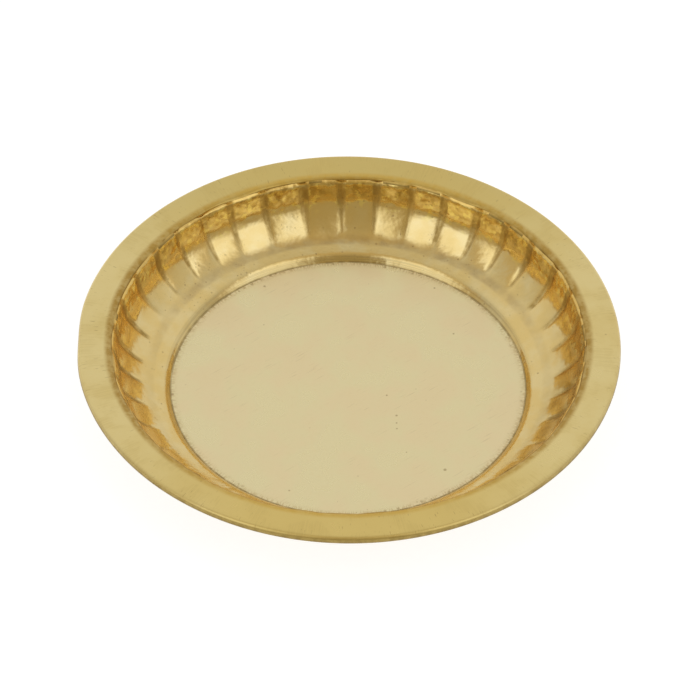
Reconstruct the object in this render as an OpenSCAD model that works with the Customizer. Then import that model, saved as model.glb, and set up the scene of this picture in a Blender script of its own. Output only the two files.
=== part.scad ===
// Shallow lobed dish, pressed from one sheet of brass.
// The sheet has a sunk disc, a rounded step, a sloping foot, a wall of pillowed lobes and a flat rim.
// The rim's outer edge is curled down and under, round a stiffening wire.
// The origin is the middle of the flat underside, and +Z is up.

/* [Sheet] */
// Outside diameter over the rim
dish_d = 180; // [170:1:195]
// Height from the table to the top of the rim
dish_h = 22.4; // [20.5:0.1:24]
// Thickness of the brass sheet
sheet_t = 0.7; // [0.6:0.05:0.8]

/* [Bottom] */
// Diameter of the sunk disc in the middle
disc_d = 119; // [115:0.5:122]
// Slope of the short riser at the disc's edge
step_slope = 48; // [40:1:54]
// Length of that riser
step_run = 1.2; // [0.8:0.1:1.6]
// Radius of the rounded top of the step
step_crest_r = 5; // [3.5:0.5:6]
// Slope of the plain foot below the lobes
foot_slope = 22; // [20:1:26]

/* [Lobes] */
// Number of lobes round the wall
lobes = 40; // [32:1:44]
// How far the groove between two lobes is pushed out
groove_depth = 0.7; // [0.4:0.1:1]

/* [Rim] */
// Width of the flat rim, from the bend at the wall to the curled edge
rim_w = 8.8; // [8:0.1:10]
// Radius at the top of the wall, where it bends into the rim
corner_r = 1.4; // [1.1:0.1:1.6]
// Height of the plain neck between the lobes and that bend
neck_h = 0.6; // [0.4:0.1:1.2]
// Outside diameter of the curled edge
curl_d = 3.0; // [2.8:0.1:3.2]
// Diameter of the wire inside the curl
wire_d = 1.5; // [1:0.1:1.5]
// Gap between the two butted ends of the wire
wire_gap = 0.6; // [0.3:0.1:2]

/* [Hidden] */
$fn = 160;

half_t = sheet_t / 2;
dish_r = dish_d / 2;

// Bends of the step: a tight one where the riser leaves the disc, and a wide one over its crest
step_hollow_r = 0.7;
bend_steps = 6;
lobe_foot_r = disc_d / 2 + 5.5;

// Curled edge: the sheet's middle follows this radius nearly all the way round
curl_mid_r = (curl_d - sheet_t) / 2;
curl_angle = 300;
curl_steps = 20;
curl_x = dish_r - curl_d / 2;
curl_z = dish_h - curl_d / 2;
neck_x = curl_x - rim_w - corner_r;
neck_z = dish_h - half_t - corner_r - neck_h;

// Lobed band: a little thinner than the sheet, so that its two ends sit inside the plain parts.
// Each end runs straight into the plain part by band_lap, and the plain part runs on over it by cover.
band_t = sheet_t - 0.15;
band_lap = 0.6;
cover = 0.12;
columns = 6;
rows = 10;
cells = lobes * columns;

// A path is a list of [x, z, heading]. Each step starts from the last point of the one before.
function ahead(p, d) = [[p.x + d * cos(p[2]), p.y + d * sin(p[2]), p[2]]];
function bend(p, r, turn, steps) =
    let (s = sign(turn))
    [for (i = [1 : steps])
        let (a = p[2] + turn * i / steps)
        [p.x + s * r * (sin(a) - sin(p[2])), p.y - s * r * (cos(a) - cos(p[2])), a]];
function last(list) = list[len(list) - 1];
function beside(p, d) = [p.x - d * sin(p[2]), p.y + d * cos(p[2])];

// The outline of a sheet whose middle follows a path
module sheet_outline(path) {
    upper = [for (p = path) beside(p, half_t)];
    lower = [for (i = [len(path) - 1 : -1 : 0]) beside(path[i], -half_t)];
    polygon(concat(upper, lower));
}

function bottom_path() =
    let (
        start = [0, half_t, 0],
        disc = ahead(start, disc_d / 2 - step_hollow_r * sin(step_slope / 2)),
        up = bend(last(disc), step_hollow_r, step_slope, bend_steps),
        riser = ahead(last(up), step_run),
        crest = bend(last(riser), step_crest_r, foot_slope - step_slope, bend_steps),
        foot = ahead(last(crest), (lobe_foot_r - last(crest).x) / cos(foot_slope) + cover)
    )
    concat([start], disc, up, riser, crest, foot);

function rim_path() =
    let (
        start = [neck_x, neck_z - cover, 90],
        neck = ahead(start, neck_h + cover),
        corner = bend(last(neck), corner_r, -90, bend_steps),
        flat = ahead(last(corner), rim_w),
        curl = bend(last(flat), curl_mid_r, -curl_angle, curl_steps)
    )
    concat([start], neck, corner, flat, curl);

// Wall section between the foot and the neck: one cubic curve along a lobe, and one along a groove
foot_way = [cos(foot_slope), sin(foot_slope)];
foot_end = [last(bottom_path()).x, last(bottom_path()).y] - cover * foot_way;
neck_start = [neck_x, neck_z];
wall_h = neck_z - foot_end.y;
lobe_handles = [foot_end + 6.5 * foot_way, neck_start - [1, 0.42 * wall_h]];
groove_push = [2.4 * foot_way, [0.9, -0.9]];
groove_handles = [for (i = [0 : 1]) lobe_handles[i] + groove_depth * groove_push[i]];
function on_curve(handles, v) =
    pow(1 - v, 3) * foot_end
    + 3 * v * pow(1 - v, 2) * handles[0]
    + 3 * v * v * (1 - v) * handles[1]
    + pow(v, 3) * neck_start;

// u counts lobes round the wall.
// A narrow groove runs up the wall at each whole number, with a broad pillow between two grooves.
function pillow(u) = 1 - pow(2 * (u - floor(u)) - 1, 4);
function wall_point(u, v) =
    let (
        groove = on_curve(groove_handles, v),
        p = groove + pillow(u) * (on_curve(lobe_handles, v) - groove),
        a = 360 * u / lobes
    )
    [p.x * cos(a), p.x * sin(a), p.y];
function wall_normal(u, v) =
    let (
        du = 0.5 / columns,
        dv = 0.02,
        across = wall_point(u + du, v) - wall_point(u - du, v),
        along = wall_point(u, min(1, v + dv)) - wall_point(u, max(0, v - dv)),
        n = cross(along, across)
    )
    n / norm(n);

// The straight ends of the band, round the dish at u, on the sheet's middle or d to its side
function end_ring(u, place, out, d) =
    let (a = 360 * u / lobes, p = place + d * out)
    [p.x * cos(a), p.x * sin(a), p.y];
function foot_ring(u, d) = end_ring(u, foot_end - band_lap * foot_way, [-foot_way.y, foot_way.x], d);
function neck_ring(u, d) = end_ring(u, neck_start + [0, band_lap], [-1, 0], d);

// One skin of the band: a grid of points, moved from the sheet's middle by d
function skin(d) =
    [for (j = [0 : rows - 1], i = [0 : cells - 1])
        let (u = i / columns, v = (j - 1) / (rows - 3))
        j == 0 ? foot_ring(u, d)
        : j == rows - 1 ? neck_ring(u, d)
        : wall_point(u, v) + d * wall_normal(u, v)];
// Number of the point in column i and row j of skin k: 0 is the inner one
function at(i, j, k) = k * cells * rows + j * cells + i % cells;
function two_triangles(a, b, c, d) = [[a, c, b], [a, d, c]];

module lobed_band() {
    points = concat(skin(band_t / 2), skin(-band_t / 2));
    top = rows - 1;
    inner = [for (j = [0 : top - 1], i = [0 : cells - 1])
        each two_triangles(at(i, j, 0), at(i, j + 1, 0), at(i + 1, j + 1, 0), at(i + 1, j, 0))];
    outer = [for (j = [0 : top - 1], i = [0 : cells - 1])
        each two_triangles(at(i, j, 1), at(i + 1, j, 1), at(i + 1, j + 1, 1), at(i, j + 1, 1))];
    low_end = [for (i = [0 : cells - 1])
        each two_triangles(at(i, 0, 0), at(i + 1, 0, 0), at(i + 1, 0, 1), at(i, 0, 1))];
    high_end = [for (i = [0 : cells - 1])
        each two_triangles(at(i, top, 0), at(i, top, 1), at(i + 1, top, 1), at(i + 1, top, 0))];
    polyhedron(points, concat(inner, outer, low_end, high_end));
}

module dish() {
    color("goldenrod") {
        rotate_extrude() sheet_outline(bottom_path());
        lobed_band();
        rotate_extrude() sheet_outline(rim_path());
    }
}

// The wire starts and ends at the back, where its ends butt together
module rim_wire() {
    gap_angle = wire_gap / curl_x * 180 / PI;
    color("darkgoldenrod")
        translate([0, 0, curl_z])
            rotate([0, 0, 90 + gap_angle / 2])
                rotate_extrude(angle = 360 - gap_angle)
                    translate([curl_x, 0]) circle(d = wire_d);
}

dish();
rim_wire();
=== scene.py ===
"""Looks of the shallow lobed brass dish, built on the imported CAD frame.

The dish is one pressed sheet, so one mesh stands for it: a fine grid of points that follows the middle of the
sheet, moved half the sheet's thickness to either side. The grid is made in millimetres and stored in metres.
"""

import math

import bpy
import numpy as np
from mathutils import Matrix, Vector


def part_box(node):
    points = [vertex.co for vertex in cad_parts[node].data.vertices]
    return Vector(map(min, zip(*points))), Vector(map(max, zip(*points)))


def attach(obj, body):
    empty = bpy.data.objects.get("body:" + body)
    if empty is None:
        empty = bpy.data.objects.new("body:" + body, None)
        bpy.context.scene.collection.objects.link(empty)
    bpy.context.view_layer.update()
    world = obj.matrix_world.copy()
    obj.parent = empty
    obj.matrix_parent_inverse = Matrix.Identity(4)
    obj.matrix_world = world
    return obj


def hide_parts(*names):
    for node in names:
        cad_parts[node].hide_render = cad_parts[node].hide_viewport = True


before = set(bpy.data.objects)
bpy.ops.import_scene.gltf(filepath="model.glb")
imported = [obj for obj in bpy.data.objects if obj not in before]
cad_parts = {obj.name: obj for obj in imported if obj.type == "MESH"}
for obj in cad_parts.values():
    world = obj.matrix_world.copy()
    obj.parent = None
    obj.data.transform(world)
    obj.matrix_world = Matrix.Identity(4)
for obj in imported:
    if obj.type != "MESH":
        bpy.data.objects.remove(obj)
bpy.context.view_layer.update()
MM = 0.001

# ---------------------------------------------------------------- sizes, in millimetres and degrees
box_low, box_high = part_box("dish")
DISH_R = (box_high.x - box_low.x) / 2 / MM
DISH_H = box_high.z / MM
SHEET = 0.7
HALF = SHEET / 2

# Bottom: disc, step and foot
DISC_R = 59.2
STEP_HOLLOW_R = 0.7  # mid-sheet radius of the bend that leaves the disc
STEP_SLOPE = 48
STEP_RUN = 1.2
STEP_CREST_R = 5.0  # mid-sheet radius over the top of the step
FOOT_SLOPE = 22
WALL_FOOT_R = 65.0  # where the foot ends and the lobed wall starts

# Wall: a round bend up from the foot, then a steep stretch to a small brow just below the crease
WALL_R = 73.0  # near the middle of the wall
WALL_BEND_R = 22
WALL_BEND_TURN = 40
STEEP_REACH = 2.0  # how far the steep stretch keeps the direction of its two ends
BROW = np.array([-0.5, -0.6])  # from the crease
BROW_REACH = 0.4
CREASE_PULL = 0.1

# Lobes and the grooves between them
PILLOW = 0.32  # how far the middle of a lobe stands in from its two sides
PILLOW_UNEVEN = 0.16  # share of that by which lobes differ
GROOVE_DEPTH = 0.12  # beyond the sides of the lobes
GROOVE_HALF_W = 1.0
GROOVE_SHADE_HALF_W = 1.5  # of the brown band of painted shade along each groove

# Crease, shoulder and curl
CREASE_R = 78.6  # mid-sheet radius at the top of the wall
CREASE_Z = 21.3
CREST_R = 0.45
CREST_TURN = 58
SHOULDER_R = 2.2
CURL_D = 3.0
CURL_TURN = 300

# Dents and waves from use and from handwork
CREASE_WAVE = 0.14
CREASE_DIP = 0.25  # at each groove
CREASE_SWAY = 0.20
DENT = 0.6
DENT_AT = 180
DENT_HALF_W = 7
DENT_RUN = 8  # distance from the crease over which the dent grows to its full size

# How far each groove stands from its even place, in degrees, going round from the front right
FIRST_GROOVE = -36
GROOVE_SHIFTS = [
    1.0, -0.5, 0.8, 0.9, 0.0, 0.7, 0.6, 0.5, 1.8, 1.9,
    1.7, 2.3, 1.9, 2.2, 2.2, 2.9, 4.5, 4.9, 3.9, 3.4,
    3.2, 3.8, 4.4, 4.9, 3.8, 3.5, 3.9, 3.9, 4.0, 3.8,
    3.5, 3.3, 3.0, 2.8, 2.5, 2.3, 2.0, 1.8, 1.5, 1.2,
]
LOBES = len(GROOVE_SHIFTS)

# ---------------------------------------------------------------- fineness of the mesh
COLUMNS_PER_LOBE = 18
COLUMNS = LOBES * COLUMNS_PER_LOBE

# Rows of points along each part of the outline
DISC_ROWS = 2
HOLLOW_ROWS = 4
RISER_ROWS = 1
CREST_ROWS = 5
FOOT_ROWS = 2
WALL_ROWS = 30
CREASE_ROWS = 5
SHOULDER_ROWS = 4
RIM_ROWS = 4
CURL_ROWS = 13
# The wall's first row takes the place of the foot's last one.
CREASE_ROW = DISC_ROWS + HOLLOW_ROWS + RISER_ROWS + CREST_ROWS + FOOT_ROWS - 1 + WALL_ROWS - 1

rng = np.random.RandomState(7)


# ---------------------------------------------------------------- outline of the sheet's middle
def ahead(path, length, steps=1):
    """Goes straight on from the path's last point, [x, z, heading in degrees]."""
    x, z, a = path[-1]
    c, s = math.cos(math.radians(a)), math.sin(math.radians(a))
    return path + [[x + length * c * i / steps, z + length * s * i / steps, a] for i in range(1, steps + 1)]


def bend(path, radius, turn, steps):
    """Turns left by turn degrees, or right if turn is negative."""
    x, z, a = path[-1]
    side = math.copysign(radius, turn)
    out = []
    for i in range(1, steps + 1):
        b = a + turn * i / steps
        dx = math.sin(math.radians(b)) - math.sin(math.radians(a))
        dz = math.cos(math.radians(b)) - math.cos(math.radians(a))
        out.append([x + side * dx, z - side * dz, b])
    return path + out


def bottom_path():
    """From the middle of the disc, up the step and along the foot."""
    path = ahead([[0, HALF, 0]], DISC_R, DISC_ROWS)
    path = bend(path, STEP_HOLLOW_R, STEP_SLOPE, HOLLOW_ROWS)
    path = ahead(path, STEP_RUN, RISER_ROWS)
    path = bend(path, STEP_CREST_R, FOOT_SLOPE - STEP_SLOPE, CREST_ROWS)
    run = (WALL_FOOT_R - path[-1][0]) / math.cos(math.radians(FOOT_SLOPE))
    return ahead(path, run, FOOT_ROWS)


def rim_path():
    """From the crease over the shoulder, along the flat rim and round the curl."""
    curl_mid = (CURL_D - SHEET) / 2
    path = [[CREASE_R, CREASE_Z, 90]]
    path = bend(path, CREST_R, -CREST_TURN, CREASE_ROWS)
    path = bend(path, SHOULDER_R, -(90 - CREST_TURN), SHOULDER_ROWS)
    sink = DISH_H - HALF - path[-1][1]
    path = [[x, z + sink * (i > 0), a] for i, (x, z, a) in enumerate(path)]
    path = ahead(path, DISH_R - CURL_D / 2 - path[-1][0], RIM_ROWS)
    return bend(path, curl_mid, -CURL_TURN, CURL_ROWS)


def cubic(a, b, c, d, n):
    """A curve of n points from a to d, which leaves towards b and comes in from c."""
    v = np.linspace(0, 1, n)[:, None]
    return (1 - v) ** 3 * a + 3 * v * (1 - v) ** 2 * b + 3 * v * v * (1 - v) * c + v**3 * d


def along(points, n):
    """The same line with n points at even distances."""
    steps = np.r_[0, np.cumsum(np.linalg.norm(np.diff(points, axis=0), axis=1))]
    at = np.linspace(0, steps[-1], n)
    return np.c_[np.interp(at, steps, points[:, 0]), np.interp(at, steps, points[:, 1])]


def wall_line(foot):
    """The line up the wall: a round bend, then a steep stretch to the brow and over it to the crease."""
    path = bend([foot], WALL_BEND_R, WALL_BEND_TURN, 8)
    x, z, a = path[-1]
    start = np.array([x, z])
    way = np.array([math.cos(math.radians(a)), math.sin(math.radians(a))])
    crease = np.array([CREASE_R, CREASE_Z])
    brow = crease + BROW
    steep = cubic(start, start + STEEP_REACH * way, brow - STEEP_REACH * way, brow, 40)
    over = cubic(brow, brow + BROW_REACH * way, crease - CREASE_PULL, crease, 12)
    return along(np.r_[np.array(path)[:-1, :2], steep, over[1:]], WALL_ROWS)


def inward(line):
    """The direction square to a line, on the side that faces the inside of the dish."""
    step = np.gradient(line, axis=0)
    step /= np.linalg.norm(step, axis=1)[:, None]
    return np.c_[-step[:, 1], step[:, 0]]


# ---------------------------------------------------------------- the grid round the dish
def smooth(value, low, high):
    """Goes smoothly from 0 to 1 as the value goes from low to high."""
    t = np.clip((value - low) / (high - low), 0, 1)
    return t * t * (3 - 2 * t)


def groove_places():
    """The angle of each groove, in degrees, with the first one again at the end of the round."""
    even = FIRST_GROOVE + np.arange(LOBES) * 360 / LOBES
    places = even + np.array(GROOVE_SHIFTS)
    return np.r_[places, places[0] + 360]


def groove_distance():
    """How far each column is from the nearest groove, in millimetres, near the middle of the wall."""
    u = np.arange(COLUMNS) / COLUMNS_PER_LOBE
    return np.abs(u - np.round(u)) * 2 * math.pi / LOBES * WALL_R


def wander(angle, waves):
    """A smooth random curve round the dish, about 1 high each way."""
    total = np.zeros_like(angle)
    for k in range(1, waves + 1):
        total += rng.normal() * np.cos(k * angle + rng.uniform(0, 2 * math.pi))
    return total / math.sqrt(waves / 2)


def crease_wave(angle):
    """The crease rises and falls a little, and dips at each groove."""
    dip = CREASE_DIP * np.exp(-((groove_distance() / GROOVE_HALF_W) ** 2))
    return CREASE_WAVE * wander(angle, 22) - dip


def dent(angle):
    """The rim's edge is pushed in a little on the left."""
    off = np.abs((angle - math.radians(DENT_AT) + math.pi) % (2 * math.pi) - math.pi)
    return DENT * np.exp(-((off / math.radians(DENT_HALF_W)) ** 2))


def lobe_push(angle, share):
    """How far the wall stands in from its line: share goes from 0 at the foot to 1 at the crease."""
    edge = groove_distance()
    half = math.pi * WALL_R / LOBES
    pillow = PILLOW * (1 - ((half - edge) / half) ** 2)
    groove = GROOVE_DEPTH * np.exp(-((edge / GROOVE_HALF_W) ** 2))
    uneven = 1 + PILLOW_UNEVEN * wander(angle, 9)
    push = pillow * smooth(share, 0.0, 0.35) - groove * smooth(share, 0.04, 0.26)
    return push * uneven * smooth(1 - share, -0.4, 0.3)


def around_all(line):
    """The same line at every angle."""
    return np.repeat(line[:, None, :], COLUMNS, axis=1)


def middle_grid():
    """Points on the sheet's middle: one row for each step along the outline, one column for each angle."""
    bottom = bottom_path()
    line = wall_line(bottom[-1])
    u = np.arange(COLUMNS) / COLUMNS_PER_LOBE
    angle = np.radians(np.interp(u, np.arange(LOBES + 1), groove_places()))
    share = np.linspace(0, 1, WALL_ROWS)[:, None]
    wall = line[:, None, :] + lobe_push(angle, share)[..., None] * inward(line)[:, None, :]
    neck = around_all(np.array(rim_path())[1:, :2])
    fading = np.exp(-np.arange(len(neck)) / 3)[:, None]
    wave = crease_wave(angle)
    wall[..., 1] += wave * share**3
    neck[..., 1] += wave * fading
    sway = CREASE_SWAY * wander(angle, 26)
    wall[..., 0] += sway * share**4
    neck[..., 0] += sway * fading
    grid = np.concatenate([around_all(np.array(bottom)[1:-1, :2]), wall, neck])
    grid[..., 0] -= dent(angle) * np.clip((grid[..., 0] - CREASE_R) / DENT_RUN, 0, 1)
    return np.stack([grid[..., 0] * np.cos(angle), grid[..., 0] * np.sin(angle), grid[..., 1]], axis=-1)


def normals(grid):
    """The direction square to the grid at each point, on the side that faces up and in."""
    round_ = np.roll(grid, -1, axis=1) - np.roll(grid, 1, axis=1)
    up = np.gradient(grid, axis=0)
    n = np.cross(round_, -up)
    return n / np.linalg.norm(n, axis=-1, keepdims=True)


def sheet_mesh(name, grid):
    """A closed mesh: the grid moved half the sheet's thickness each way, two middles and the free edge."""
    n = normals(grid)
    rows, cols = grid.shape[:2]
    skins = [(grid + HALF * n).reshape(-1, 3), (grid - HALF * n).reshape(-1, 3)]
    poles = np.array([[0, 0, SHEET], [0, 0, 0]])
    verts = np.concatenate(skins + [poles]) * MM
    i, j = np.meshgrid(np.arange(rows - 1), np.arange(cols), indexing="ij")
    a = i * cols + j
    b = i * cols + (j + 1) % cols
    quads = np.stack([a, a + cols, b + cols, b], axis=-1).reshape(-1, 4)
    count = rows * cols
    under = quads[:, ::-1] + count
    here = np.arange(cols)
    after = (here + 1) % cols
    last = (rows - 1) * cols
    edge = np.stack([last + here, last + count + here, last + count + after, last + after], axis=-1)
    caps = [[2 * count, int(k), int(m)] for k, m in zip(here, after)]
    caps += [[2 * count + 1, int(count + m), int(count + k)] for k, m in zip(here, after)]
    mesh = bpy.data.meshes.new(name)
    mesh.from_pydata(verts.tolist(), [], np.concatenate([quads, under, edge]).tolist() + caps)
    mesh.update()
    mesh.shade_smooth()
    return mesh


# ---------------------------------------------------------------- nodes
class Tree:
    """Short names for making nodes in a tree."""

    def __init__(self, tree):
        self.tree = tree

    def add(self, kind, **values):
        made = self.tree.nodes.new("ShaderNode" + kind)
        for key, value in values.items():
            if hasattr(made, key):
                setattr(made, key, value)
            else:
                self.put(made.inputs[key.replace("_", " ")], value)
        return made

    def put(self, socket, value):
        if isinstance(value, bpy.types.NodeSocket):
            self.tree.links.new(value, socket)
        else:
            socket.default_value = value

    def math(self, operation, *values):
        made = self.add("Math", operation=operation)
        for socket, value in zip(made.inputs, values):
            self.put(socket, value)
        return made.outputs[0]

    def times(self, a, b):
        return self.math("MULTIPLY", a, b)

    def plus(self, a, b):
        return self.math("ADD", a, b)

    def minus(self, a, b):
        return self.math("SUBTRACT", a, b)

    def over(self, a, b):
        return self.math("DIVIDE", a, b)

    def span(self, value, low, high, to_low=0.0, to_high=1.0):
        """Goes smoothly from to_low to to_high as the value goes from low to high."""
        made = self.add("MapRange", interpolation_type="SMOOTHSTEP", From_Min=low, From_Max=high)
        made.inputs["To Min"].default_value = to_low
        made.inputs["To Max"].default_value = to_high
        self.put(made.inputs["Value"], value)
        return made.outputs["Result"]

    def below(self, value, low, high):
        """Goes smoothly from 1 to 0 as the value goes from low to high."""
        return self.minus(1.0, self.span(value, low, high))

    def ramp(self, value, marks):
        """Colours at places from 0 to 1, blended in between."""
        made = self.add("ValToRGB", Fac=value)
        points = made.color_ramp.elements
        while len(points) < len(marks):
            points.new(1.0)
        for point, (place, colour) in zip(points, marks):
            point.position = place
            point.color = (*colour, 1)
        return made.outputs["Color"]

    def grey(self, value):
        made = self.add("CombineColor")
        for socket in made.inputs:
            self.put(socket, value)
        return made.outputs["Color"]

    def mix(self, amount, a, b):
        """Colour a where the amount is 0, and colour b where it is 1."""
        made = self.add("Mix", data_type="RGBA", clamp_result=False)
        for socket, value in zip((made.inputs[0], made.inputs[6], made.inputs[7]), (amount, a, b)):
            if isinstance(value, tuple):
                value = (*value, 1)
            self.put(socket, value)
        return made.outputs[2]


class Brass(Tree):
    """A brass material, with the places and marks that all its zones share. Lengths are in millimetres."""

    ROUND = 80.0  # turns an angle in radians into a length round the dish

    def __init__(self, name):
        self.material = bpy.data.materials.new(name)
        self.material.use_nodes = True
        super().__init__(self.material.node_tree)
        self.shader = self.tree.nodes["Principled BSDF"]
        self.shader.inputs["Metallic"].default_value = 1
        place = self.add("VectorMath", operation="SCALE", Scale=1 / MM)
        self.put(place.inputs[0], self.add("TexCoord").outputs["Object"])
        self.place = place.outputs[0]
        self.x, self.y, self.z = self.add("SeparateXYZ", Vector=self.place).outputs
        self.r = self.math("SQRT", self.plus(self.times(self.x, self.x), self.times(self.y, self.y)))
        self.around = self.times(self.math("ARCTAN2", self.y, self.x), self.ROUND)
        self.past_crease = self.mark("past_crease")
        self.colour = None
        self.bumps = None

    def mark(self, name):
        """A number that the mesh stores for each of its points."""
        return self.add("Attribute", attribute_name=name).outputs["Fac"]

    def vector(self, x, y, z):
        made = self.add("CombineXYZ")
        for socket, value in zip(made.inputs, (x, y, z)):
            self.put(socket, value)
        return made.outputs[0]

    def noise(self, size, detail=3.0, rough=0.55, vector=None):
        """A noise about 0.5, with features about as wide as size."""
        place = vector or self.place
        made = self.add("TexNoise", Vector=place, Scale=1.0 / size, Detail=detail, Roughness=rough)
        return made.outputs[0]

    def streaks(self, angle, length, width):
        """Fine straight streaks that run at an angle to X."""
        c, s = math.cos(math.radians(angle)), math.sin(math.radians(angle))
        u = self.plus(self.times(self.x, c), self.times(self.y, s))
        v = self.minus(self.times(self.y, c), self.times(self.x, s))
        where = self.vector(self.over(u, length), self.over(v, width), 0.0)
        return self.noise(1.0, detail=1.0, vector=where)

    def spokes(self, length, width, seed=0.0):
        """Fine streaks that run out from the middle."""
        where = self.vector(self.over(self.around, width), self.over(self.r, length), seed)
        return self.noise(1.0, detail=1.0, vector=where)

    def rings(self, width, length):
        """Fine streaks that run round the dish."""
        across, up = self.over(self.r, width), self.over(self.z, width)
        where = self.vector(self.over(self.around, length), across, up)
        return self.noise(1.0, detail=2.0, vector=where)

    def specks(self, spacing, size, share, seed=0.0):
        """Small dots: one in each cell of about the spacing, in the given share of the cells."""
        shifted = self.add("VectorMath", operation="ADD")
        self.put(shifted.inputs[0], self.place)
        shifted.inputs[1].default_value = (seed, seed, seed)
        cells = self.add("TexVoronoi", Vector=shifted.outputs[0], Scale=1.0 / spacing)
        chance = self.add("SeparateColor", Color=cells.outputs["Color"])
        wide = self.times(chance.outputs["Green"], size / spacing)
        dot = self.below(self.over(cells.outputs["Distance"], wide), 0.6, 1.0)
        return self.times(dot, self.math("LESS_THAN", chance.outputs["Red"], share))

    def paint(self, amount, colour):
        """Lays a colour over what is there already."""
        self.colour = self.mix(amount, self.colour, colour)

    def bump(self, height, depth):
        """Adds relief of the given depth in millimetres to what is there already."""
        made = self.add("Bump", Strength=1.0, Distance=depth * MM)
        self.put(made.inputs["Height"], height)
        if self.bumps:
            self.put(made.inputs["Normal"], self.bumps)
        self.bumps = made.outputs[0]

    def done(self, rough):
        self.put(self.shader.inputs["Base Color"], self.colour)
        self.put(self.shader.inputs["Roughness"], rough)
        self.put(self.shader.inputs["Normal"], self.bumps)
        return self.material


# ---------------------------------------------------------------- colours of the brass
PALE = (0.89, 0.70, 0.33)
GOLD = (0.87, 0.64, 0.25)
DEEP = (0.76, 0.54, 0.165)
BROWN = (0.34, 0.22, 0.08)
CREASE_HIGHLIGHT = (0.93, 0.63, 0.19)
OLIVE = (0.26, 0.18, 0.055)
DISC_PALE = (0.90, 0.78, 0.445)
DISC_WARM = (0.925, 0.765, 0.445)
DISC_GRIME = (0.50, 0.34, 0.12)
DISC_CORNER_GRIME_AND_SHADE = (0.30, 0.21, 0.08)
STEP_CORNER_GRIME_AND_SHADE = (0.34, 0.24, 0.09)
STEP_LINES = (0.54, 0.41, 0.18)
FOOT_BEND_SHADE = (0.55, 0.40, 0.18)
GROOVE_SHADE_COLOUR = (0.46, 0.31, 0.095)
UNDER_CREASE_SHADE = (0.44, 0.28, 0.075)
GLINT = (1.0, 0.80, 0.28)
RIGHT_WALL_SHADE = (0.40, 0.285, 0.105)
RIM_GOLD = (0.80, 0.60, 0.205)
RIM_PALE = (0.87, 0.70, 0.315)
RIM_BACK = (0.66, 0.51, 0.18)
RIM_CLOUD = (0.77, 0.57, 0.19)
RIM_BRUSHED = (0.55, 0.40, 0.13)
SHOULDER_BACK = (0.70, 0.455, 0.10)
SHOULDER_SIDE = (0.47, 0.285, 0.065)
UNDER_PALE = (0.72, 0.56, 0.25)
UNDER_BROWN = (0.52, 0.36, 0.13)
WIRE_PALE = (0.66, 0.50, 0.21)
WIRE_BROWN = (0.45, 0.31, 0.11)


# ---------------------------------------------------------------- materials, one for each zone of the dish
def disc_brass():
    """Satin disc: faint warm clouds, sparse slanting scratches, specks, grime inside its edge, and a dark
    line of painted shade and grime in the corner at the edge.
    """
    n = Brass("brass_disc")
    cloud = n.noise(19)
    n.colour = n.mix(n.span(cloud, 0.38, 0.62), DISC_PALE, DISC_WARM)
    n.paint(n.span(n.noise(1.3, detail=4.0, rough=0.7), 0.5, 0.8, 0, 0.10), DEEP)
    scratch = n.times(n.span(n.streaks(38, 9, 0.28), 0.66, 0.74), n.span(n.noise(17), 0.48, 0.6))
    n.paint(n.times(scratch, 0.30), BROWN)
    edge = n.span(n.r, DISC_R - 2.7, DISC_R)
    grime = n.times(edge, n.span(n.spokes(1.6, 0.5, 8.0), 0.40, 0.62))
    n.paint(n.times(grime, 0.45), DISC_GRIME)
    dots = n.plus(n.specks(3.2, 0.7, 0.10), n.times(edge, n.specks(1.5, 0.8, 0.4, 3.0)))
    n.paint(n.times(dots, 0.55), BROWN)
    # Dark line in the corner at the disc's edge: painted shade of the corner, with some grime.
    corner_grime_and_shade = n.span(n.r, DISC_R - 0.45, DISC_R - 0.1)
    n.paint(n.times(corner_grime_and_shade, n.span(n.noise(2.5), 0.3, 0.6, 0.3, 0.75)), DISC_CORNER_GRIME_AND_SHADE)
    n.bump(n.noise(0.6), 0.004)
    n.bump(n.noise(14, detail=2.0), 0.05)
    n.bump(scratch, -0.002)
    return n.done(n.plus(n.span(cloud, 0.3, 0.7, 0.26, 0.34), n.times(grime, 0.15)))


def painted_groove_shade(n):
    """Painted shade: the brown band up each groove, narrower low down, patchy, and not the same in every
    groove.
    """
    near = n.minus(n.mark("groove"), n.span(n.z, 5.0, 16.0, 0.34, 0.0))
    band = n.times(n.span(near, 0.12, 0.52), n.span(n.z, 5.5, 7.0))
    band = n.times(band, n.span(n.noise(3.5, detail=5.0, rough=0.7), 0.34, 0.55, 0.45, 0.95))
    return n.times(band, n.span(n.noise(13), 0.36, 0.58, 0.5, 1.0))


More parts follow.
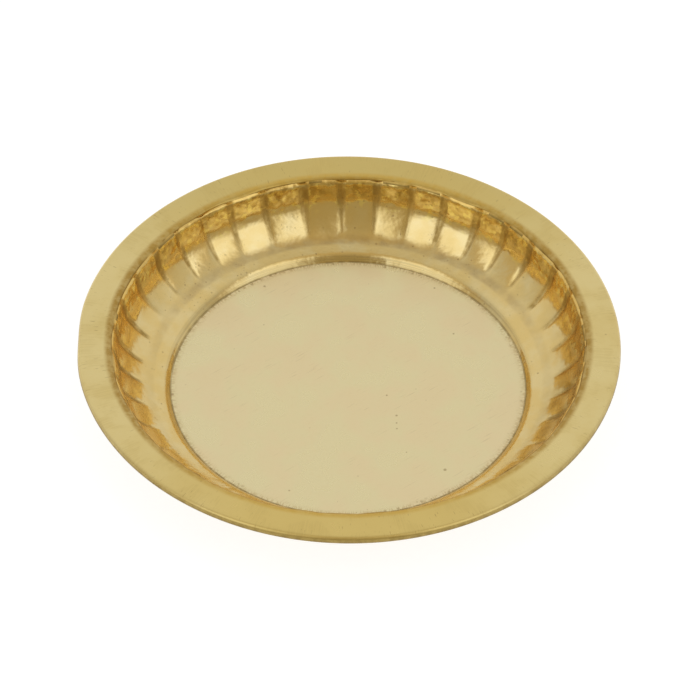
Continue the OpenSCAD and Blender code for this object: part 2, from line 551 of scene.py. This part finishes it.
def wall_brass():
    """Step, foot and lobes: polished, with grime in the step; painted shade with grime in the step's corner;
    painted shade at the foot's bend, along the grooves, on the lower right and in patches below the crease; a
    deeper gold of painted reflection below the crease; a painted highlight on the brow; painted glints.
    """
    n = Brass("brass_wall")
    cloud = n.noise(9, detail=4.0)
    n.colour = n.mix(n.span(cloud, 0.3, 0.62), PALE, GOLD)

    step = n.below(n.r, DISC_R + 1.5, DISC_R + 2.4)
    n.paint(n.times(step, n.span(n.rings(0.35, 60), 0.40, 0.60, 0.2, 0.6)), STEP_LINES)
    # Dark line where the step leaves the disc: painted shade of the corner, with some grime.
    corner_grime_and_shade = n.below(n.r, DISC_R + 0.25, DISC_R + 0.6)
    n.paint(n.times(corner_grime_and_shade, n.span(n.noise(2.5), 0.3, 0.6, 0.3, 0.75)), STEP_CORNER_GRIME_AND_SHADE)
    # Painted shade in the bend from the foot up to the wall, stronger towards the back.
    foot_end = n.times(n.span(n.r, WALL_FOOT_R - 0.8, WALL_FOOT_R + 0.4), n.below(n.z, 4.9, 6.2))
    foot_end = n.times(foot_end, n.span(n.y, 0, 50, 0.3, 1.0))
    n.paint(n.times(foot_end, n.span(n.noise(5, detail=2.0), 0.3, 0.7, 0.2, 0.6)), FOOT_BEND_SHADE)

    # Below the crease: painted reflection as a deeper gold from about 12.5 mm up, and painted shade as darker
    # brown patches from about 14 mm up.
    patchy = n.span(n.noise(2.2, detail=5.0, rough=0.7), 0.36, 0.62)
    n.paint(n.times(n.span(n.z, 12.5, 18.0), n.span(patchy, 0, 1, 0.35, 0.9)), DEEP)
    n.paint(n.times(n.span(n.z, 14.0, 17.5), n.span(n.noise(3.0), 0.48, 0.62, 0, 0.55)), UNDER_CREASE_SHADE)
    n.paint(n.times(n.span(n.z, 10.5, 13.5), n.span(n.noise(2.6, detail=2.0), 0.53, 0.62, 0, 0.8)), GLINT)
    # Painted shade along the grooves; the same band also makes them rougher.
    groove_shade = painted_groove_shade(n)
    n.paint(groove_shade, GROOVE_SHADE_COLOUR)

    # Painted shade: the lower wall made darker, in patches, on the right side.
    right = n.minus(n.times(n.x, 0.94), n.times(n.y, 0.34))
    dull = n.times(n.span(right, 54, 74), n.span(n.z, 2.5, 9.0, 0.1, 0.8))
    n.paint(n.times(dull, n.span(n.noise(6.0), 0.35, 0.6, 1.0, 0.4)), RIGHT_WALL_SHADE)
    # Painted highlight: a brighter gold band on the brow just below the crease, which is also made a little
    # rougher.
    crease_highlight = n.span(n.past_crease, -1.1, -0.5)
    n.paint(n.times(crease_highlight, 0.85), CREASE_HIGHLIGHT)
    crowd = n.times(n.span(n.noise(12), 0.45, 0.65), n.specks(0.9, 0.45, 0.35, 9.0))
    n.paint(n.times(n.plus(n.specks(2.2, 0.45, 0.2, 5.0), crowd), 0.5), BROWN)

    n.bump(n.noise(0.8), 0.006)
    n.bump(n.noise(4.5, detail=2.0), 0.15)
    n.bump(n.times(n.noise(3.6, detail=1.0), n.span(n.z, 11.0, 16.0)), 0.45)
    rough = n.plus(n.span(cloud, 0.3, 0.7, 0.13, 0.21), n.times(groove_shade, 0.28))
    return n.done(n.plus(rough, n.times(crease_highlight, 0.12)))


def rim_brass():
    """Flat rim and curl: brushed, with short scratches across; painted reflection makes it paler at the left
    and right and darker at the back; painted shade on the shoulder and under the curl; a painted highlight
    along the crease.
    """
    n = Brass("brass_rim")
    cloud = n.noise(20, detail=4.0)
    # Painted reflection: the rim made paler towards the left and right and darker towards the back.
    side = n.span(n.math("ABSOLUTE", n.x), 25, 80)
    n.colour = n.mix(side, RIM_GOLD, RIM_PALE)
    n.paint(n.span(n.y, 30, 85, 0, 0.6), RIM_BACK)
    n.paint(n.span(cloud, 0.35, 0.7, 0, 0.5), RIM_CLOUD)
    n.paint(n.span(n.noise(1.1, detail=4.0, rough=0.7), 0.5, 0.8, 0, 0.16), DEEP)
    brush = n.times(n.spokes(12, 0.5), n.span(n.noise(10), 0.4, 0.6, 0.3, 1.0))
    n.paint(n.span(brush, 0.35, 0.6, 0, 0.14), RIM_BRUSHED)
    scratch = n.times(n.span(n.spokes(3.6, 0.4, 4.0), 0.67, 0.73), n.span(n.noise(11), 0.46, 0.55))
    n.paint(n.times(scratch, 0.5), BROWN)
    n.paint(n.times(n.specks(3.0, 0.5, 0.09, 2.0), 0.35), BROWN)

    patchy = n.span(n.noise(3.0, detail=5.0, rough=0.7), 0.32, 0.66)
    # Painted shade on the shoulder down to the crease: orange-brown at the front and back, darker at the left
    # and right.
    shoulder = n.below(n.past_crease, 1.4, 3.3)
    shoulder_shade = n.mix(side, SHOULDER_BACK, SHOULDER_SIDE)
    n.paint(n.times(shoulder, n.span(patchy, 0, 1, 0.6, 1.0)), shoulder_shade)
    # Painted highlight: a brighter gold line along the crease's sharp edge.
    crease_highlight = n.below(n.past_crease, 0.15, 0.45)
    n.paint(n.times(crease_highlight, n.span(n.noise(5.0), 0.35, 0.6, 0.1, 0.9)), CREASE_HIGHLIGHT)
    # Painted shade under the curl: its lower part made olive-dark, and a little rougher.
    curl = n.below(n.z, 21.0, 22.35)
    n.paint(n.times(curl, n.span(patchy, 0, 1, 0.75, 0.95)), OLIVE)

    n.bump(brush, 0.006)
    n.bump(n.noise(9, detail=2.0), 0.08)
    n.bump(scratch, -0.012)
    return n.done(n.plus(n.span(cloud, 0.3, 0.7, 0.27, 0.36), n.times(curl, 0.1)))


def under_brass():
    """Underside: duller and browner, with the rings that the tool left."""
    n = Brass("brass_under")
    cloud = n.noise(15, detail=5.0, rough=0.65)
    n.colour = n.mix(n.span(cloud, 0.35, 0.65), UNDER_PALE, UNDER_BROWN)
    ring = n.rings(0.6, 60)
    n.paint(n.span(ring, 0.45, 0.65, 0, 0.2), BROWN)
    n.paint(n.times(n.specks(2.4, 1.0, 0.2, 7.0), 0.5), BROWN)
    n.bump(ring, 0.006)
    n.bump(n.noise(0.8), 0.006)
    return n.done(n.span(cloud, 0.3, 0.7, 0.34, 0.5))


def wire_brass():
    """Drawn wire, dull, with fine lines along it."""
    n = Brass("brass_wire")
    cloud = n.noise(4, detail=4.0)
    n.colour = n.mix(n.span(cloud, 0.35, 0.65), WIRE_PALE, WIRE_BROWN)
    n.bump(n.rings(0.2, 30), 0.008)
    return n.done(n.span(cloud, 0.3, 0.7, 0.32, 0.48))


# ---------------------------------------------------------------- pieces
DISC_ZONE, WALL_ZONE, RIM_ZONE, UNDER_ZONE = range(4)
RIM_FROM_Z = CREASE_Z + 0.1
RIM_FROM_R = CREASE_R + 1.3


def under_faces(mesh):
    """The faces of the outer skin and its middle, but not the curl, whose outer side shows from above."""
    count = len(mesh.polygons)
    skin = (count - 3 * COLUMNS) // 2  # each skin, without the free edge and the two middles
    index = np.arange(count)
    below_curl = (index >= skin) & (index < 2 * skin - COLUMNS * CURL_ROWS)
    return below_curl | (index >= count - COLUMNS)


def face_zones(mesh):
    """Which zone each face is in."""
    centres = np.empty(len(mesh.polygons) * 3)
    mesh.polygons.foreach_get("center", centres)
    centres = centres.reshape(-1, 3) / MM
    r = np.hypot(centres[:, 0], centres[:, 1])
    zone = np.where(r < DISC_R, DISC_ZONE, WALL_ZONE)
    zone[(r >= DISC_R) & (centres[:, 2] > RIM_FROM_Z)] = RIM_ZONE
    zone[r > RIM_FROM_R] = RIM_ZONE
    zone[under_faces(mesh)] = UNDER_ZONE
    return zone.astype(np.int32)


def store(mesh, name, values):
    """Stores one number for each point of the grid, for the materials to use on both skins."""
    both = np.zeros(len(mesh.vertices))
    both[:-2] = np.tile(values, 2)
    mesh.attributes.new(name, "FLOAT", "POINT").data.foreach_set("value", both)


def groove_nearness():
    """1 in a groove and 0 far from it, for each column, with some grooves weaker than others."""
    strength = rng.uniform(0.7, 1.0, LOBES + 1)
    near = np.exp(-((groove_distance() / GROOVE_SHADE_HALF_W) ** 2))
    return near * strength[np.round(np.arange(COLUMNS) / COLUMNS_PER_LOBE).astype(int)]


def past_crease(grid):
    """How far each row is past the crease along the sheet, in millimetres."""
    steps = np.linalg.norm(np.diff(grid, axis=0), axis=2).mean(axis=1)
    run = np.r_[0, np.cumsum(steps)]
    return run - run[CREASE_ROW]


def dish():
    grid = middle_grid()
    mesh = sheet_mesh("dish_sheet", grid)
    piece = bpy.data.objects.new("dish_sheet", mesh)
    bpy.context.scene.collection.objects.link(piece)
    for material in (disc_brass(), wall_brass(), rim_brass(), under_brass()):
        mesh.materials.append(material)
    store(mesh, "groove", np.tile(groove_nearness(), len(grid)))
    store(mesh, "past_crease", np.repeat(past_crease(grid), COLUMNS))
    mesh.polygons.foreach_set("material_index", face_zones(mesh))
    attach(piece, "root")
    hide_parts("dish")


def wire():
    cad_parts["rim_wire"].material_slots[0].material = wire_brass()


# ---------------------------------------------------------------- studio
FLOOR_SIZE = 12
FLOOR_GLOW = 0.85


def floor():
    """A plain floor, white under the studio's light."""
    bpy.ops.mesh.primitive_plane_add(size=FLOOR_SIZE, location=(0, 0, 0))
    plane = bpy.context.object
    plane.name = "floor"
    material = bpy.data.materials.new("floor")
    material.use_nodes = True
    n = Tree(material.node_tree)
    shader = n.tree.nodes["Principled BSDF"]
    place = n.add("TexCoord").outputs["Object"]
    grain = n.add("TexNoise", Vector=place, Scale=300.0, Detail=2.0).outputs[0]
    n.put(shader.inputs["Base Color"], n.grey(n.span(grain, 0.3, 0.7, 0.34, 0.36)))
    n.put(shader.inputs["Roughness"], n.span(grain, 0.3, 0.7, 0.85, 0.95))
    shader.inputs["Specular IOR Level"].default_value = 0
    shader.inputs["Emission Color"].default_value = (1, 1, 1, 1)
    shader.inputs["Emission Strength"].default_value = FLOOR_GLOW
    plane.data.materials.append(material)


def around(azimuth, elevation, distance):
    """The place at that distance from the origin. Angles are in degrees, from +X and up from the floor."""
    a, e = math.radians(azimuth), math.radians(elevation)
    return Vector((math.cos(a) * math.cos(e), math.sin(a) * math.cos(e), math.sin(e))) * distance


# The studio's walls, from the camera's side over the top to the back
FRONT = (0.40, 0.34, 0.21)
LOW_FRONT = (0.52, 0.44, 0.29)
OVERHEAD = (0.56, 0.56, 0.55)
BEHIND = (0.735, 0.735, 0.73)
WALLS = [(0.0, FRONT), (0.35, LOW_FRONT), (0.5, OVERHEAD), (0.85, BEHIND), (1.0, BEHIND)]

# Each light patch on the walls, in degrees: azimuth, half width of its bright part, half width in all
PATCHES = [(-137, 16, 30), (-37, 17, 31)]
PATCH_COLOUR = tuple(1.06 * c for c in (1.0, 1.04, 1.12))


def sky():
    """A pale studio, darker and warmer low down on the camera's side, with soft patches of light."""
    world = bpy.data.worlds.new("studio")
    bpy.context.scene.world = world
    world.use_nodes = True
    n = Tree(world.node_tree)
    x, y, z = n.add("SeparateXYZ", Vector=n.add("TexCoord").outputs["Generated"]).outputs
    light = n.ramp(n.span(y, -0.8, 0.8), WALLS)
    azimuth = n.math("ARCTAN2", y, x)
    rise = n.times(n.span(z, 0.20, 0.46), n.span(z, 0.97, 0.86))
    for aim, inner, outer in PATCHES:
        off = n.math("ABSOLUTE", n.minus(azimuth, math.radians(aim)))
        spot = n.times(rise, n.span(off, math.radians(outer), math.radians(inner)))
        light = n.mix(spot, light, PATCH_COLOUR)
    n.put(n.tree.nodes["Background"].inputs["Color"], light)


# Camera: angles in degrees, places in metres, lens and sensor in millimetres
CAMERA_AZIMUTH = -90
CAMERA_ELEVATION = 44.95
CAMERA_DISTANCE = 1.6747
CAMERA_TARGET = Vector((0.0005, 0, 0.0175))
CAMERA_LENS = 260.1
CAMERA_SENSOR = 36
CAMERA_ROLL = 0.49


def camera():
    data = bpy.data.cameras.new("camera")
    data.lens = CAMERA_LENS
    data.sensor_width = CAMERA_SENSOR
    data.clip_start = 0.05
    thing = bpy.data.objects.new("camera", data)
    bpy.context.scene.collection.objects.link(thing)
    back = around(CAMERA_AZIMUTH, CAMERA_ELEVATION, CAMERA_DISTANCE)
    roll = Matrix.Rotation(math.radians(CAMERA_ROLL), 3, "Z")
    turn = (-back).to_track_quat("-Z", "Y").to_matrix() @ roll
    thing.matrix_world = Matrix.Translation(CAMERA_TARGET + back) @ turn.to_4x4()
    bpy.context.scene.camera = thing


dish()
wire()
floor()
sky()
camera()
bpy.context.scene.view_settings.view_transform = "Standard"
bpy.context.scene.cycles.max_bounces = 16
bpy.context.scene.cycles.glossy_bounces = 12
